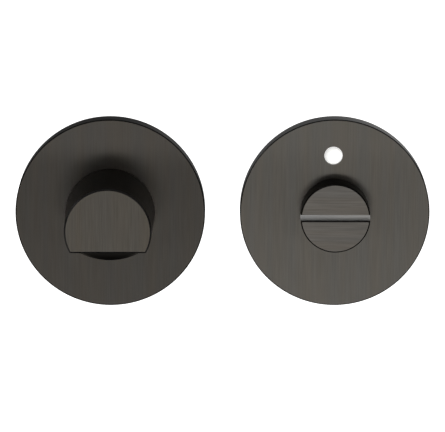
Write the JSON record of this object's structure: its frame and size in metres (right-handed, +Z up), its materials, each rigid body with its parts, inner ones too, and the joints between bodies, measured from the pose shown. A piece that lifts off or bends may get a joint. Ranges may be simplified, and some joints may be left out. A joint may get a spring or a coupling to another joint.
{
  "type": "bathroom thumb turn lock",
  "caption": "Bathroom door lock furniture: a round rose with a scooped thumb turn beside a matching rose with a coin-slot release and an indicator hole.",
  "frame": {"origin": "where the thumb turn's axis meets the face of the door", "axes": "+X to the right along the row of roses, +Y into the door, +Z up"},
  "size_m": [0.1135, 0.0765, 0.052],
  "materials": {
    "rose_bronze": "dark bronze plated brass, brushed up and down, satin lacquer",
    "turn_bronze": "dark bronze plated brass, face brushed up and down, round sides brushed along",
    "disc_bronze": "dark bronze plated brass, face brushed across",
    "nylon": "natural black nylon",
    "nylon_black": "moulded black nylon, fine grain",
    "spring_steel": "oiled spring steel",
    "zinc_plated_steel": "bright zinc plated",
    "black_steel": "black oxide",
    "sleeve_brass": "turned brass",
    "white_acetal": "white moulded plastic",
    "red_film": "red self-adhesive film"
  },
  "bodies": {
    "root": {"turn_rose": "rose_bronze", "turn_bush": "nylon", "turn_spring_washer": "spring_steel", "turn_base": "nylon_black", "turn_bolt_left": "zinc_plated_steel", "turn_bolt_right": "zinc_plated_steel", "release_rose": "rose_bronze", "release_bush": "nylon", "release_base": "nylon_black", "release_sleeve_left": "sleeve_brass", "release_sleeve_right": "sleeve_brass"},
    "turn": {"thumb_turn": "turn_bronze", "turn_circlip": "spring_steel", "spindle": "zinc_plated_steel", "spindle_grub_screw": "black_steel"},
    "release": {"release_disc": "disc_bronze", "release_spring_washer": "spring_steel", "release_circlip": "spring_steel", "indicator_plate": "white_acetal", "indicator_red_label": "red_film"}
  },
  "joints": [
    {"name": "turn_spin", "type": "hinge", "parent": "root", "child": "turn", "pos_m": [0, 0, 0], "axis": [0, 1, 0], "range_deg": [0, 90]},
    {"name": "release_spin", "type": "hinge", "parent": "root", "child": "release", "pos_m": [0.0615, 0, 0], "axis": [0, 1, 0], "range_deg": [-90, 0]}
  ]
}
